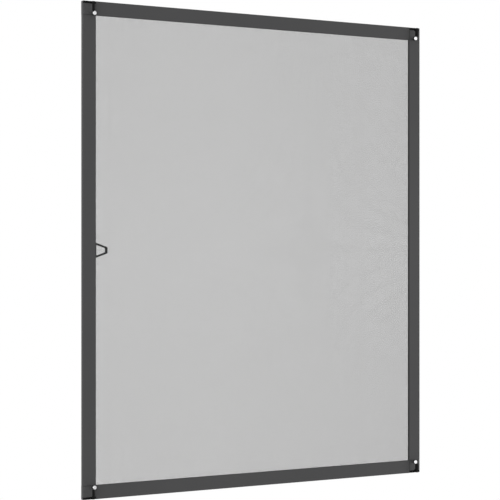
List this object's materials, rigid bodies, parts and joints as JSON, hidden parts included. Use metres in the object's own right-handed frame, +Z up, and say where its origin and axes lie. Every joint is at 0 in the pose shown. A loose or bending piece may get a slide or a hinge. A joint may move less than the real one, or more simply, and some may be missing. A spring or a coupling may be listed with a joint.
{
  "type": "window insect screen frame",
  "caption": "Rectangular aluminium window screen: profiles on moulded corners, a fine mesh held by rubber splines, hanging hooks and a small pull loop.",
  "frame": {"origin": "the middle of the frame, in the plane of the front faces of the profiles that lie against the window", "axes": "+X to the right as seen from the room, +Z up, -Y towards the room"},
  "size_m": [1, 0.028, 1.2],
  "materials": {
    "profile": "anthracite powder coat, satin",
    "connector": "moulded, fine grain",
    "hook": "black moulded",
    "screw": "bright zinc plate",
    "mesh": "coated glass fibre thread, matt",
    "spline": "matt",
    "loop": "soft moulded plastic"
  },
  "bodies": {
    "root": {"frame_profile_left": "profile", "frame_profile_right": "profile", "frame_profile_top": "profile", "frame_profile_bottom": "profile", "corner_connector_top_left": "connector", "corner_connector_top_right": "connector", "corner_connector_bottom_left": "connector", "corner_connector_bottom_right": "connector", "hanging_hook_top_left": "hook", "hanging_hook_top_right": "hook", "hanging_hook_bottom_left": "hook", "hanging_hook_bottom_right": "hook", "hook_screw_top_left": "screw", "hook_screw_top_right": "screw", "hook_screw_bottom_left": "screw", "hook_screw_bottom_right": "screw", "insect_mesh": "mesh", "mesh_spline_left": "spline", "mesh_spline_right": "spline", "mesh_spline_top": "spline", "mesh_spline_bottom": "spline", "pull_loop": "loop"}
  },
  "joints": []
}
